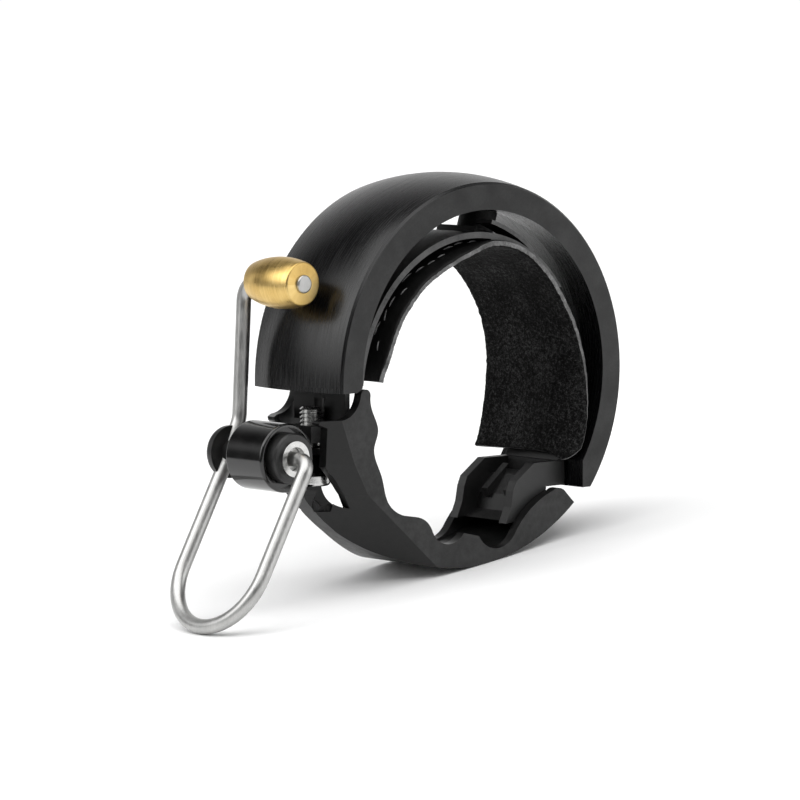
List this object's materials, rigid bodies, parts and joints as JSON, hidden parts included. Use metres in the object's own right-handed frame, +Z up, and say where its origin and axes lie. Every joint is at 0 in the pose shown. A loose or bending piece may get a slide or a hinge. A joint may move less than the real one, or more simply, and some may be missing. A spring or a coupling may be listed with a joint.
{
  "type": "bicycle bell",
  "caption": "Ring bell that closes round a handlebar, with a domed chime, a lined band, a screwed lower bracket and a sprung wire striker with a brass hammer.",
  "frame": {"origin": "on the handlebar's axis, at mid-width of the bell", "axes": "+Y along the handlebar's axis, +Z up through the chime, striker on the -X side"},
  "size_m": [0.0652, 0.0165, 0.0536],
  "materials": {
    "anodised_black": "satin, brushed round the ring",
    "band_black": "satin",
    "grommet_rubber": "matte",
    "steel": "satin",
    "bright_steel": "polished",
    "wire_steel": "satin",
    "suede": "napped",
    "block_plastic": "matte",
    "bracket_black": "matte, cast",
    "gloss_black": "gloss",
    "collar_plastic": "satin",
    "cap_plastic": "satin",
    "brass": "turned, satin"
  },
  "bodies": {
    "ring": {"bell_shell": "anodised_black", "upper_band": "band_black", "chime_grommet": "grommet_rubber", "chime_sleeve": "steel", "chime_screw": "steel", "liner_strap": "suede", "hook_block": "block_plastic"},
    "base": {"base_bracket": "bracket_black", "hinge_pin": "steel", "spring_barrel": "gloss_black", "near_collar": "collar_plastic", "far_collar": "collar_plastic", "near_bush": "bright_steel", "far_bush": "bright_steel", "torsion_spring": "steel"},
    "screw": {"clamp_screw": "bright_steel"},
    "striker": {"striker_wire": "wire_steel", "hammer": "brass", "pivot_axle": "steel", "axle_cap": "cap_plastic"}
  },
  "joints": [
    {"name": "clamp_hinge", "type": "hinge", "parent": "ring", "child": "base", "pos_m": [0.012, 0, -0.0173], "axis": [0, 1, 0], "range_deg": [0, 0.8]},
    {"name": "clamp_screw_turn", "type": "hinge", "parent": "base", "child": "screw", "pos_m": [-0.0217, 0, -0.0115], "axis": [0, 0, 1], "range_deg": [0, 345]},
    {"name": "striker_pivot", "type": "hinge", "parent": "base", "child": "striker", "pos_m": [-0.02844, 0, -0.00827], "axis": [0, 1, 0], "range_deg": [-40, 1.2], "stiffness_Nm_per_rad": 0.05}
  ],
  "couplings": [
    {"joint": "clamp_screw_turn", "follows": "clamp_hinge", "ratio": 430}
  ]
}
